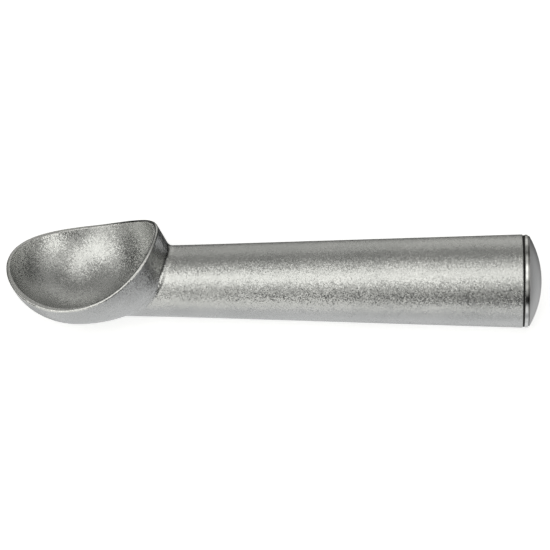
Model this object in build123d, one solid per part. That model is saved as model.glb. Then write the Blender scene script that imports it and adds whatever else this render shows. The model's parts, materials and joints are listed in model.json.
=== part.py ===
from build123d import *

import math
import os

# One-piece cast-aluminium ice-cream dipper with a liquid-filled handle and a plug in the butt.
# Millimetres. It is drawn about its own handle axis (X, bowl at low X, bowl opening to +Z) and
# then laid down the way it rests on a table: bowl bottom and handle end both on Z = 0.

# Rim: an ellipse in plan, swept up to a crest by a cylinder that lies across the bowl
SWEEP_RADIUS = 46.2
SWEEP_X = 19.6
SWEEP_Z = 52.75
RIM_OUTER_ROUND = 0.65
RIM_INNER_ROUND = 0.25

# Outside of the bowl: an egg whose widest level is the equator
BOWL_CENTRE_X = 24.55
EQUATOR_Z = 10.85
BOWL_DEPTH = 22.85
LIP_REACH = 24.55
BACK_REACH = 33.85
BOWL_HALF_WIDTH = 21.7
SHOULDER_Z = 2.0
LEVEL_STEP = 2.0
LEVELS = 11

# Above the shoulder the back wall leans in towards the crest, and the flanks with it
BACK_LEAN = 0.29
BACK_LEAN_START = 3.1
BACK_LEAN_SOFTNESS = 3.0
FLANK_LEAN = 0.094
FLANK_LEAN_START = 8.0
FLANK_LEAN_SOFTNESS = 1.5

# Inside of the bowl
HOLLOW_EQUATOR_Z = 17.5
HOLLOW_LIP_REACH = 24.4
HOLLOW_BACK_REACH = 27.3
HOLLOW_HALF_WIDTH = 22.4
HOLLOW_DEPTH = 23.1

# Handle
HANDLE_ROOT_X = 24.55
HANDLE_END_X = 172.05
HANDLE_END_RADIUS = 15.2
HANDLE_TAPER = 0.027
HANDLE_FLARE_X = 70.0
HANDLE_END_ROUND = 0.3
HANDLE_BLEND = 2.2

# Liquid chamber and the bore for the plug
CHAMBER_START_X = 70.0
CHAMBER_START_RADIUS = 9.0
CHAMBER_END_RADIUS = 11.4
BORE_RADIUS = 12.2
BORE_LENGTH = 14.0
MOUTH_CHAMFER = 0.5

# Plug
GASKET_THICKNESS = 0.6
GASKET_SETBACK = 0.3
BAND_LENGTH = 1.05
BAND_RADIUS = 15.1
DOME_HEIGHT = 4.0
DOME_STEP = 0.3
BAND_EDGE = 0.15
BAND_GROOVE_WIDTH = 0.45
BAND_GROOVE_DEPTH = 0.45
SPIGOT_LENGTH = 13.0
GROOVE_WIDTH = 2.6
GROOVE_DEPTH = 1.5
FIRST_GROOVE_X = 3.0
GROOVE_PITCH = 5.2
SPIGOT_CHAMFER = 0.6
PLUG_RECESS_RADIUS = 7.6
PLUG_RECESS_DEPTH = 9.0

# Filling
FLUID_GAP = 0.05
AIR_SPACE = 3.0

BAND_END_X = HANDLE_END_X + GASKET_THICKNESS + BAND_LENGTH
REST_RISE = HANDLE_END_RADIUS - BOWL_DEPTH + EQUATOR_Z
REST_TILT = math.degrees(math.atan2(REST_RISE, HANDLE_END_X - HANDLE_END_ROUND - BOWL_CENTRE_X))


def lean(z, start, slope, softness):
    """How far a wall has leant in at height z: nothing low down, then a straight slope."""
    def run(height):
        above = height - start
        return slope * (above + math.hypot(above, softness)) / 2
    return run(z) - run(SHOULDER_Z)


def level_outline(z):
    """Closed level outline of the bowl's outside at height z: two half ellipses."""
    below = max(0.0, EQUATOR_Z - z) / BOWL_DEPTH
    swell = math.sqrt(1 - below**2)
    lip = LIP_REACH * swell
    back = BACK_REACH * swell - lean(z, BACK_LEAN_START, BACK_LEAN, BACK_LEAN_SOFTNESS)
    width = BOWL_HALF_WIDTH * swell - lean(z, FLANK_LEAN_START, FLANK_LEAN, FLANK_LEAN_SOFTNESS)
    back_arc = EllipticalCenterArc((0, 0), back, width, -90, arc_size=180)
    lip_arc = EllipticalCenterArc((0, 0), lip, width, 90, arc_size=180)
    outline = make_face(Wire([back_arc, lip_arc]))
    return Pos(BOWL_CENTRE_X, 0, z) * outline


def ellipsoid_quarter(reach, half_width, depth, side):
    """Quarter of an ellipsoid below its equator: side -1 towards the lip, +1 the handle."""
    arc = CenterArc((0, 0), 1, -90, 180 * side)
    half_disc = make_face(Wire([arc, Line((0, 1), (0, -1))]))
    quarter = revolve(half_disc, Axis.Y, 90 * side)
    return scale(quarter, by=(reach, half_width, depth))


def egg(lip, back, half_width, depth, equator_z):
    """Lower half of an egg: two ellipsoid quarters that share their widest section."""
    body = ellipsoid_quarter(lip, half_width, depth, -1)
    body += ellipsoid_quarter(back, half_width, depth, 1)
    return Pos(BOWL_CENTRE_X, 0, equator_z) * body


def bowl_outside():
    lower = egg(LIP_REACH, BACK_REACH, BOWL_HALF_WIDTH, BOWL_DEPTH, EQUATOR_Z)
    lower &= Pos(BOWL_CENTRE_X, 0, SHOULDER_Z - 50) * Box(100, 100, 100)
    levels = [SHOULDER_Z + LEVEL_STEP * i for i in range(LEVELS)]
    upper = loft([level_outline(z) for z in levels])
    return lower + upper


def bowl_hollow():
    """Inside of the bowl, as two bodies: upright walls above its equator, an egg below it."""
    lower = egg(HOLLOW_LIP_REACH, HOLLOW_BACK_REACH, HOLLOW_HALF_WIDTH, HOLLOW_DEPTH, HOLLOW_EQUATOR_Z)
    back = EllipticalCenterArc((0, 0), HOLLOW_BACK_REACH, HOLLOW_HALF_WIDTH, -90, arc_size=180)
    lip = EllipticalCenterArc((0, 0), HOLLOW_LIP_REACH, HOLLOW_HALF_WIDTH, 90, arc_size=180)
    mouth = extrude(make_face(Wire([back, lip])), amount=20)
    return Pos(BOWL_CENTRE_X, 0, HOLLOW_EQUATOR_Z) * mouth, lower


def rim_sweep():
    """Everything above the swept rim."""
    roller = Rot(90, 0, 0) * Cylinder(SWEEP_RADIUS, 100)
    return Pos(SWEEP_X, 0, SWEEP_Z) * roller


def turned(points):
    """Body of revolution about the handle axis from a closed (x, radius) profile."""
    return revolve(make_face(Polyline(points, close=True)), Axis.X)


def handle_radius(x):
    """Straight taper, easing to no taper at all where the handle runs into the bowl."""
    radius = HANDLE_END_RADIUS - HANDLE_TAPER * (HANDLE_END_X - x)
    ease = max(0.0, HANDLE_FLARE_X - x)
    return radius + HANDLE_TAPER * ease**2 / (2 * (HANDLE_FLARE_X - HANDLE_ROOT_X))


def handle_outside():
    root = (HANDLE_ROOT_X, handle_radius(HANDLE_ROOT_X))
    flare = (HANDLE_FLARE_X, handle_radius(HANDLE_FLARE_X))
    end = (HANDLE_END_X, HANDLE_END_RADIUS)
    middle_x = (HANDLE_ROOT_X + HANDLE_FLARE_X) / 2
    curve = ThreePointArc(root, (middle_x, handle_radius(middle_x)), flare)
    rest = Polyline([flare, end, (HANDLE_END_X, 0), (HANDLE_ROOT_X, 0), root])
    return revolve(make_face(Wire([curve, *rest.edges()])), Axis.X)


def chamber(clearance=0.0):
    """Tapered hollow of the handle with a round inner end, up to the plug bore."""
    start = CHAMBER_START_X
    end = HANDLE_END_X - BORE_LENGTH
    near = CHAMBER_START_RADIUS - clearance
    far = CHAMBER_END_RADIUS - clearance
    dome = CenterArc((start, 0), near, 90, 90)
    wall = Line((start, near), (end, far))
    base = Line((end, far), (end, 0))
    axis = Line((end, 0), (start - near, 0))
    return revolve(make_face(Wire([dome, wall, base, axis])), Axis.X)


def plug_bore():
    start = HANDLE_END_X - BORE_LENGTH
    lip = HANDLE_END_X - MOUTH_CHAMFER
    mouth = BORE_RADIUS + MOUTH_CHAMFER
    wall = [(start, BORE_RADIUS), (lip, BORE_RADIUS), (HANDLE_END_X, mouth)]
    return turned([(start, 0), *wall, (HANDLE_END_X, 0)])


def is_root_edge(edge):
    """True for the closed line where the handle's cone leaves the bowl's outside."""
    for t in (0.2, 0.5, 0.8):
        p = edge.position_at(t)
        off_cone = abs(math.hypot(p.Y, p.Z) - handle_radius(p.X))
        if off_cone > 0.02 or p.X < HANDLE_ROOT_X or p.X > HANDLE_END_X / 2:
            return False
    return True


def is_end_edge(edge):
    """True for the outer circle of the handle's butt end."""
    p = edge.position_at(0.3)
    return abs(p.X - HANDLE_END_X) < 0.01 and abs(math.hypot(p.Y, p.Z) - HANDLE_END_RADIUS) < 0.01


def is_rim_edge(edge):
    """True for an edge that lies on the rim's sweep."""
    for t in (0.0, 0.3, 0.6, 1.0):
        p = edge.position_at(t)
        if abs(math.hypot(p.X - SWEEP_X, p.Z - SWEEP_Z) - SWEEP_RADIUS) > 0.02:
            return False
    return True


def is_outside_hollow(point):
    """True for a point of the bowl that is clear of the hollow at its own height."""
    below = max(0.0, HOLLOW_EQUATOR_Z - point.Z) / HOLLOW_DEPTH
    along = point.X - BOWL_CENTRE_X
    reach = HOLLOW_BACK_REACH if along > 0 else HOLLOW_LIP_REACH
    return (along / reach) ** 2 + (point.Y / HOLLOW_HALF_WIDTH) ** 2 > 1.02 * (1 - below**2)


def scoop_body():
    """The casting: bowl and hollow handle in one piece."""
    casting = bowl_outside() + handle_outside() - rim_sweep()
    for hollow in bowl_hollow():
        casting -= hollow
    casting -= chamber()
    casting -= plug_bore()
    casting = fillet([e for e in casting.edges() if is_root_edge(e)], HANDLE_BLEND)
    casting = fillet([e for e in casting.edges() if is_end_edge(e)], HANDLE_END_ROUND)
    rim = [e for e in casting.edges() if is_rim_edge(e)]
    outer = [e for e in rim if is_outside_hollow(e.position_at(0.5))]
    casting = fillet(outer, RIM_OUTER_ROUND)
    inner = [e for e in casting.edges() if is_rim_edge(e) and not is_outside_hollow(e.position_at(0.5))]
    return fillet(inner, RIM_INNER_ROUND)


def spigot_grooves():
    """Low-X face of each groove along the plug's spigot."""
    tip = HANDLE_END_X - SPIGOT_LENGTH
    return [tip + FIRST_GROOVE_X, tip + FIRST_GROOVE_X + GROOVE_PITCH]


def end_cap():
    """Turned plug: hollow grooved spigot, polished band, small step and domed face."""
    tip = HANDLE_END_X - SPIGOT_LENGTH
    flange = HANDLE_END_X + GASKET_THICKNESS
    dome_x = BAND_END_X + BAND_GROOVE_WIDTH
    apex = dome_x + DOME_HEIGHT
    floor = BORE_RADIUS - GROOVE_DEPTH
    outline = [(apex, 0), (tip + PLUG_RECESS_DEPTH, 0), (tip + PLUG_RECESS_DEPTH, PLUG_RECESS_RADIUS)]
    outline += [(tip, PLUG_RECESS_RADIUS), (tip, BORE_RADIUS - SPIGOT_CHAMFER)]
    outline += [(tip + SPIGOT_CHAMFER, BORE_RADIUS)]
    for low in spigot_grooves():
        high = low + GROOVE_WIDTH
        outline += [(low, BORE_RADIUS), (low, floor), (high, floor), (high, BORE_RADIUS)]
    edge = BAND_EDGE
    outline += [(flange, BORE_RADIUS), (flange, BAND_RADIUS - edge), (flange + edge, BAND_RADIUS)]
    outline += [(BAND_END_X - edge, BAND_RADIUS), (BAND_END_X, BAND_RADIUS - edge)]
    groove = BAND_RADIUS - BAND_GROOVE_DEPTH
    base = BAND_RADIUS - DOME_STEP
    outline += [(BAND_END_X, groove), (dome_x, groove), (dome_x, base)]
    ball = (base**2 + DOME_HEIGHT**2) / (2 * DOME_HEIGHT)
    rise = math.degrees(math.asin(base / ball))
    dome = CenterArc((apex - ball, 0), ball, 0, rise)
    profile = make_face(Wire([*Polyline(outline).edges(), dome]))
    return revolve(profile, Axis.X)


def cap_gasket():
    """Flat seal between the handle's end and the plug's band, set just below the surface."""
    low = HANDLE_END_X
    high = HANDLE_END_X + GASKET_THICKNESS
    outer = HANDLE_END_RADIUS - GASKET_SETBACK
    inner = BORE_RADIUS + MOUTH_CHAMFER
    return turned([(low, inner), (low, outer), (high, outer), (high, inner)])


def o_ring(groove_x):
    """Sealing ring drawn as it sits, squeezed between groove floor and bore."""
    height = GROOVE_DEPTH
    width = GROOVE_WIDTH - 0.5
    centre = (groove_x + GROOVE_WIDTH / 2, BORE_RADIUS - height / 2)
    section = Pos(*centre) * RectangleRounded(width, height, height / 2 - 0.05)
    return revolve(section, Axis.X)


def heat_transfer_fluid():
    """The liquid filling: the chamber less an air space on top, level as the dipper rests."""
    filling = chamber(FLUID_GAP)
    surface_z = CHAMBER_END_RADIUS - AIR_SPACE
    centre_x = (CHAMBER_START_X + HANDLE_END_X) / 2
    air = Pos(centre_x, 0, surface_z) * Rot(0, REST_TILT, 0) * Pos(0, 0, 25) * Box(200, 50, 50)
    return filling - air


def lay_down(shape, shift=(0, 0, 0)):
    """From the handle's own axis to the resting position: bowl end down by the rest tilt."""
    return Pos(*shift) * Rot(0, -REST_TILT, 0) * shape


def main():
    grooves = spigot_grooves()
    nodes = {
        "scoop_body": scoop_body(),
        "end_cap": end_cap(),
        "cap_gasket": cap_gasket(),
        "inner_o_ring": o_ring(grooves[0]),
        "outer_o_ring": o_ring(grooves[1]),
        "heat_transfer_fluid": heat_transfer_fluid(),
    }
    low = lay_down(nodes["scoop_body"]).bounding_box().min
    high = lay_down(nodes["end_cap"]).bounding_box()
    floor = min(low.Z, high.min.Z)
    shift = (-(low.X + high.max.X) / 2, 0, -floor)
    os.makedirs("parts", exist_ok=True)
    for name, shape in nodes.items():
        export_step(lay_down(shape, shift), f"parts/{name}.step")


if __name__ == "__main__":
    main()
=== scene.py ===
import json
import math

import bpy
from mathutils import Matrix, Vector

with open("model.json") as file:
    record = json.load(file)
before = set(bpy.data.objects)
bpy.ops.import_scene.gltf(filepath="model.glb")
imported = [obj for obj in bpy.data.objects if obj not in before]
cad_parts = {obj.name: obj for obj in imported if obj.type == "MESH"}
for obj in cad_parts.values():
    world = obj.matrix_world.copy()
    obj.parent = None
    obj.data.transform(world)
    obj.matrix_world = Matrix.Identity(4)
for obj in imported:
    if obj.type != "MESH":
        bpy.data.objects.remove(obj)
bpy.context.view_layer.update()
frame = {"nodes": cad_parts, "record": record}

# Metres. X runs along the dipper from the lip to the butt, Z is up.
MM = 0.001

# The handle's own axis, from the record's grip: it rises by the rest tilt towards the butt
GRIP = frame["record"]["mounts"][0]
GRIP_FROM_LIP = 115.0 * MM
REST_TILT = math.atan2(GRIP["axis"][2], GRIP["axis"][0])
AXIS_SHIFT = Vector(GRIP["pos_m"]) - GRIP_FROM_LIP * Vector(GRIP["axis"])

# Along that axis from the lip: the cylinder that the rim follows, and the plug's band and dome
SWEEP_X, SWEEP_Z, SWEEP_RADIUS = 19.6 * MM, 52.75 * MM, 46.2 * MM
BAND_END_X, DOME_X = 173.7 * MM, 174.15 * MM

FLOOR_HALF = 4.0
FLOOR_DROP = 0.02 * MM

# The camera: its place, the way it looks back from the dipper in radians, and its lens
CAMERA_PLACE = Vector((0.06508, -0.33226, 0.33574))
CAMERA_AZIMUTH, CAMERA_ELEVATION, CAMERA_ROLL = 0.1880, 0.7569, -0.1149
SENSOR_MM, LENS_MM = 36.0, 91.53
CLIP_START = 0.01

# ---------------------------------------------------------------- node helpers


class Graph:
    """Short way to write a material's node tree."""

    def __init__(self, name):
        self.material = bpy.data.materials.new(name)
        self.material.use_nodes = True
        self.tree = self.material.node_tree
        self.tree.nodes.clear()
        self.output = self.node("ShaderNodeOutputMaterial")

    def node(self, kind, **settings):
        made = self.tree.nodes.new(kind)
        for key, value in settings.items():
            setattr(made, key, value)
        return made

    def link(self, source, target):
        self.tree.links.new(source, target)

    def put(self, socket, value):
        if isinstance(value, bpy.types.NodeSocket):
            self.link(value, socket)
        else:
            socket.default_value = value

    def math(self, operation, a, b=None, c=None):
        made = self.node("ShaderNodeMath", operation=operation)
        for socket, value in zip(made.inputs, (a, b, c)):
            if value is not None:
                self.put(socket, value)
        return made.outputs[0]

    def vector(self, operation, a, b=None, c=None):
        made = self.node("ShaderNodeVectorMath", operation=operation)
        for socket, value in zip(made.inputs, (a, b, c)):
            if value is not None:
                self.put(socket, value)
        return made.outputs[0]

    def spread(self, value, low, high, to_low=0.0, to_high=1.0):
        """A soft step from to_low at low to to_high at high."""
        made = self.node("ShaderNodeMapRange", interpolation_type="SMOOTHSTEP")
        limits = {"Value": value, "From Min": low, "From Max": high, "To Min": to_low, "To Max": to_high}
        for key, item in limits.items():
            self.put(made.inputs[key], item)
        return made.outputs[0]

    def mix_colour(self, factor, a, b):
        made = self.node("ShaderNodeMix", data_type="RGBA")
        self.put(made.inputs[0], factor)
        self.put(made.inputs[6], a)
        self.put(made.inputs[7], b)
        return made.outputs[2]

    def noise(self, place, scale, detail=2.0, roughness=0.5, distortion=0.0, output="Fac"):
        made = self.node("ShaderNodeTexNoise")
        self.link(place, made.inputs["Vector"])
        made.inputs["Scale"].default_value = scale
        made.inputs["Detail"].default_value = detail
        made.inputs["Roughness"].default_value = roughness
        made.inputs["Distortion"].default_value = distortion
        return made.outputs[output]

    def cell_colours(self, place, scale):
        made = self.node("ShaderNodeTexVoronoi", feature="F1")
        self.link(place, made.inputs["Vector"])
        made.inputs["Scale"].default_value = scale
        return made.outputs["Color"]

    def bump(self, height, strength, distance):
        made = self.node("ShaderNodeBump")
        made.inputs["Strength"].default_value = strength
        made.inputs["Distance"].default_value = distance
        self.link(height, made.inputs["Height"])
        return made.outputs["Normal"]

    def split(self, place):
        made = self.node("ShaderNodeSeparateXYZ")
        self.link(place, made.inputs[0])
        return made.outputs

    def shader(self, tint, roughness, normal=None, **constants):
        """The material's surface; constants are plain numbers for sockets, by socket name."""
        made = self.node("ShaderNodeBsdfPrincipled")
        self.put(made.inputs["Base Color"], tint)
        self.put(made.inputs["Roughness"], roughness)
        if normal is not None:
            self.link(normal, made.inputs["Normal"])
        for name, value in constants.items():
            made.inputs[name].default_value = value
        self.link(made.outputs[0], self.output.inputs["Surface"])
        return self.material


def rgb(r, g, b):
    return (r, g, b, 1.0)


def grain_normal(g, layers):
    """The surface normal tipped at random by each (colour output, amount) layer."""
    normal = g.node("ShaderNodeNewGeometry").outputs["Normal"]
    for colour, amount in layers:
        centred = g.vector("SUBTRACT", colour, (0.5, 0.5, 0.5))
        tipped = g.vector("MULTIPLY_ADD", centred, (amount, amount, amount), normal)
        normal = g.vector("NORMALIZE", tipped)
    return normal


def between(g, value, low, high, soft):
    """1 where value lies from low to high, 0 outside, over a soft edge."""
    above = g.spread(value, low - soft, low + soft)
    below = g.spread(value, high - soft, high + soft, 1.0, 0.0)
    return g.math("MULTIPLY", above, below)


def length_of(g, a, b):
    return g.math("SQRT", g.math("MULTIPLY_ADD", a, a, g.math("MULTIPLY", b, b)))


def object_place(g):
    return g.node("ShaderNodeTexCoord").outputs["Object"]


def drawn_place(g):
    """Object coordinates turned back to the handle's own axis, still in metres."""
    turned = g.node("ShaderNodeVectorRotate", rotation_type="Y_AXIS")
    g.link(g.vector("SUBTRACT", object_place(g), AXIS_SHIFT), turned.inputs["Vector"])
    turned.inputs["Angle"].default_value = REST_TILT
    return turned.outputs[0]


# ---------------------------------------------------------------- materials
# Texture scales are in cells or waves for each metre.


def cast_aluminium():
    """Bead-blasted casting: fine sparkling grain, soft mottling, cleaner metal on the rim."""
    g = Graph("cast_aluminium_look")
    place = drawn_place(g)
    facets = g.cell_colours(place, scale=3400)
    pits = g.noise(place, scale=2300, roughness=0.6, output="Color")
    waves = g.noise(place, scale=600, output="Color")
    fine = g.noise(place, scale=2300, roughness=0.6)
    medium = g.noise(place, scale=420, detail=3.0, roughness=0.55)
    broad = g.noise(place, scale=60, detail=3.0)
    cloud = g.noise(place, scale=22, distortion=0.6)

    mottled = g.mix_colour(g.spread(broad, 0.3, 0.7), rgb(0.60, 0.605, 0.595), rgb(0.67, 0.672, 0.66))
    sparkling = g.mix_colour(g.spread(fine, 0.35, 0.75, 0.0, 0.35), mottled, rgb(0.76, 0.765, 0.755))
    x, _, z = g.split(place)
    from_sweep = length_of(g, g.math("SUBTRACT", x, SWEEP_X), g.math("SUBTRACT", z, SWEEP_Z))
    rim = g.spread(from_sweep, SWEEP_RADIUS + 0.2 * MM, SWEEP_RADIUS + 0.9 * MM, 1.0, 0.0)
    tint = g.mix_colour(g.math("MULTIPLY", rim, 0.6), sparkling, rgb(0.80, 0.80, 0.785))

    rough = g.math("MULTIPLY_ADD", g.spread(cloud, 0.3, 0.7), 0.04, 0.22)
    rough = g.math("MULTIPLY_ADD", medium, 0.04, rough)
    normal = grain_normal(g, [(facets, 0.24), (pits, 0.16), (waves, 0.04)])
    return g.shader(tint, rough, normal, Metallic=1.0)


def turned_aluminium():
    """Lathe-turned plug: rings about its axis, a polished band, painted shade in the narrow recess
    before the face, a satin face.
    """
    g = Graph("turned_aluminium_look")
    place = drawn_place(g)
    x, y, z = g.split(place)
    rings = g.math("SINE", g.math("MULTIPLY", length_of(g, y, z), 18000.0))
    face = g.spread(x, BAND_END_X, DOME_X)
    # painted shade: colour darkened in the narrow recess between band and face, where the dome's edge
    # throws shade
    painted_groove_shade = between(g, x, BAND_END_X + 0.05 * MM, DOME_X - 0.02 * MM, soft=0.04 * MM)
    fine = g.noise(place, scale=2200, roughness=0.6)
    broad = g.noise(place, scale=90, detail=3.0)

    band_tint = g.mix_colour(g.spread(broad, 0.3, 0.7), rgb(0.76, 0.76, 0.75), rgb(0.84, 0.84, 0.83))
    face_tint = g.mix_colour(g.math("MULTIPLY", face, 0.5), band_tint, rgb(0.80, 0.80, 0.79))
    # painted shade: the recess is mixed towards near-black
    tint = g.mix_colour(g.math("MULTIPLY", painted_groove_shade, 0.75), face_tint, rgb(0.05, 0.05, 0.048))

    rough = g.math("MULTIPLY_ADD", face, 0.24, 0.11)
    rough = g.math("MULTIPLY_ADD", fine, 0.06, rough)
    height = g.math("MULTIPLY_ADD", rings, 0.25, fine)
    return g.shader(tint, rough, g.bump(height, strength=0.16, distance=0.04 * MM), Metallic=1.0)


def black_rubber():
    g = Graph("black_rubber_look")
    fine = g.noise(object_place(g), scale=2500, detail=3.0, roughness=0.6)
    tint = g.mix_colour(fine, rgb(0.004, 0.004, 0.004), rgb(0.012, 0.012, 0.011))
    rough = g.math("MULTIPLY_ADD", fine, 0.25, 0.5)
    normal = g.bump(fine, strength=0.3, distance=0.03 * MM)
    return g.shader(tint, rough, normal, **{"Specular IOR Level": 0.25})


def clear_fluid():
    g = Graph("fluid_look")
    drift = g.noise(object_place(g), scale=80)
    tint = g.mix_colour(drift, rgb(0.72, 0.79, 0.80), rgb(0.80, 0.86, 0.86))
    rough = g.math("MULTIPLY_ADD", drift, 0.04, 0.03)
    return g.shader(tint, rough, **{"IOR": 1.38, "Transmission Weight": 0.9})


def white_table():
    """A pale table, lit from within so that it comes out white."""
    g = Graph("table_look")
    fibre = g.noise(object_place(g), scale=60, detail=3.0)
    tint = g.mix_colour(fibre, rgb(0.90, 0.90, 0.90), rgb(0.93, 0.93, 0.93))
    lit = {"Emission Color": rgb(1.0, 1.0, 1.0), "Emission Strength": 0.62}
    return g.shader(tint, 0.7, **{"Specular IOR Level": 0.2}, **lit)


def dress_nodes():
    looks = {
        "cast_aluminium": cast_aluminium(),
        "turned_aluminium": turned_aluminium(),
        "black_rubber": black_rubber(),
        "fluid": clear_fluid(),
    }
    slot_of = {part["node"]: part["material_slot"] for part in frame["record"]["subparts"]}
    for name, node in frame["nodes"].items():
        look = looks[slot_of[name]]
        for slot in node.material_slots:
            slot.material = look
        if not node.material_slots:
            node.data.materials.append(look)
        for face in node.data.polygons:
            face.use_smooth = True


# ---------------------------------------------------------------- stage


def make_floor():
    mesh = bpy.data.meshes.new("floor")
    signs = [(-1, -1), (1, -1), (1, 1), (-1, 1)]
    corners = [(x * FLOOR_HALF, y * FLOOR_HALF, -FLOOR_DROP) for x, y in signs]
    mesh.from_pydata(corners, [], [(0, 1, 2, 3)])
    floor = bpy.data.objects.new("floor", mesh)
    bpy.context.scene.collection.objects.link(floor)
    mesh.materials.append(white_table())
    floor.visible_glossy = False


WARM_WHITE = (1.0, 1.0, 0.96)
COOL_WHITE = (0.98, 0.99, 1.0)
AMBIENT = (0.012, 0.012, 0.012)
PANEL_HALF = 16
ROOF_HALF = 20


def ring(count):
    return [turn * 360 / count for turn in range(count)]


# The studio's soft panels, as seen from the dipper: degrees above the horizon, the azimuths (0 is
# in front, 90 is past the butt), half width in degrees, brightness, colour. The panels below the
# horizon are the lit table
LIGHTS = [
    # the room
    (90, [0], ROOF_HALF, 0.55, WARM_WHITE),
    (43, ring(10), PANEL_HALF, 0.26, WARM_WHITE),
    # the key from the front left, its spill to the left, and a weaker one straight ahead
    (43, [324], PANEL_HALF, 0.95, WARM_WHITE),
    (43, [288], PANEL_HALF, 0.35, WARM_WHITE),
    (43, [0], PANEL_HALF, 0.15, WARM_WHITE),
    # the long highlight along the handle
    (66, [0], PANEL_HALF, 0.85, WARM_WHITE),
    # the front of the bowl and handle, down to the horizon
    (20, [315, 345], PANEL_HALF, 0.45, WARM_WHITE),
    (-3, [330], PANEL_HALF, 0.75, WARM_WHITE),
    # the butt's band and dome
    (20, [45], PANEL_HALF, 1.40, WARM_WHITE),
    (43, [72], PANEL_HALF, 0.40, WARM_WHITE),
    # a weak light behind
    (20, [165, 195], PANEL_HALF, 0.35, WARM_WHITE),
    (-3, [180], PANEL_HALF, 0.35, WARM_WHITE),
    # the table: brightest to the left, darkest right under the dipper
    (-28, [234, 270, 306, 342], PANEL_HALF, 0.80, WARM_WHITE),
    (-28, [18, 54], PANEL_HALF, 0.45, COOL_WHITE),
    (-28, [126], PANEL_HALF, 0.45, COOL_WHITE),
    (-54, ring(8), PANEL_HALF, 0.38, COOL_WHITE),
    (-80, [60, 180, 300], ROOF_HALF, 0.25, COOL_WHITE),
]


def from_front(azimuth, elevation):
    """Unit vector for angles in radians: azimuth 0 points to the front, 90 degrees past the butt."""
    level = math.cos(elevation)
    return Vector((math.sin(azimuth) * level, -math.cos(azimuth) * level, math.sin(elevation)))


def add_panel(tree, towards, total, place, half, light):
    """Adds one soft round panel to the world's colour and returns the new sum."""
    facing = tree.nodes.new("ShaderNodeVectorMath")
    facing.operation = "DOT_PRODUCT"
    tree.links.new(towards, facing.inputs[0])
    facing.inputs[1].default_value = place
    edge = tree.nodes.new("ShaderNodeMapRange")
    edge.interpolation_type = "SMOOTHSTEP"
    tree.links.new(facing.outputs["Value"], edge.inputs["Value"])
    edge.inputs["From Min"].default_value = math.cos(math.radians(half * 1.5))
    edge.inputs["From Max"].default_value = math.cos(math.radians(half * 0.5))
    added = tree.nodes.new("ShaderNodeVectorMath")
    added.operation = "MULTIPLY_ADD"
    tree.links.new(edge.outputs[0], added.inputs[0])
    added.inputs[1].default_value = light
    if total is None:
        added.inputs[2].default_value = AMBIENT
    else:
        tree.links.new(total, added.inputs[2])
    return added.outputs[0]


def make_lights():
    """A studio of soft panels all round, as a world: it lights every side of the object."""
    world = bpy.data.worlds.new("studio")
    bpy.context.scene.world = world
    world.use_nodes = True
    tree = world.node_tree
    towards = tree.nodes.new("ShaderNodeTexCoord").outputs["Generated"]
    total = None
    for elevation, azimuths, half, brightness, colour in LIGHTS:
        light = [brightness * channel for channel in colour]
        for azimuth in azimuths:
            place = from_front(math.radians(azimuth), math.radians(elevation))
            total = add_panel(tree, towards, total, place, half, light)
    tree.links.new(total, tree.nodes["Background"].inputs["Color"])


def make_camera():
    back = from_front(CAMERA_AZIMUTH, CAMERA_ELEVATION)
    right = Vector((math.cos(CAMERA_AZIMUTH), math.sin(CAMERA_AZIMUTH), 0.0))
    up = back.cross(right)
    right_rolled = right * math.cos(CAMERA_ROLL) + up * math.sin(CAMERA_ROLL)
    up_rolled = up * math.cos(CAMERA_ROLL) - right * math.sin(CAMERA_ROLL)
    data = bpy.data.cameras.new("camera")
    data.sensor_width = SENSOR_MM
    data.lens = LENS_MM
    data.clip_start = CLIP_START
    camera = bpy.data.objects.new("camera", data)
    bpy.context.scene.collection.objects.link(camera)
    turn = Matrix((right_rolled, up_rolled, back)).transposed().to_4x4()
    camera.matrix_world = Matrix.Translation(CAMERA_PLACE) @ turn
    bpy.context.scene.camera = camera


dress_nodes()
make_floor()
make_lights()
make_camera()
bpy.context.scene.view_settings.view_transform = "Standard"
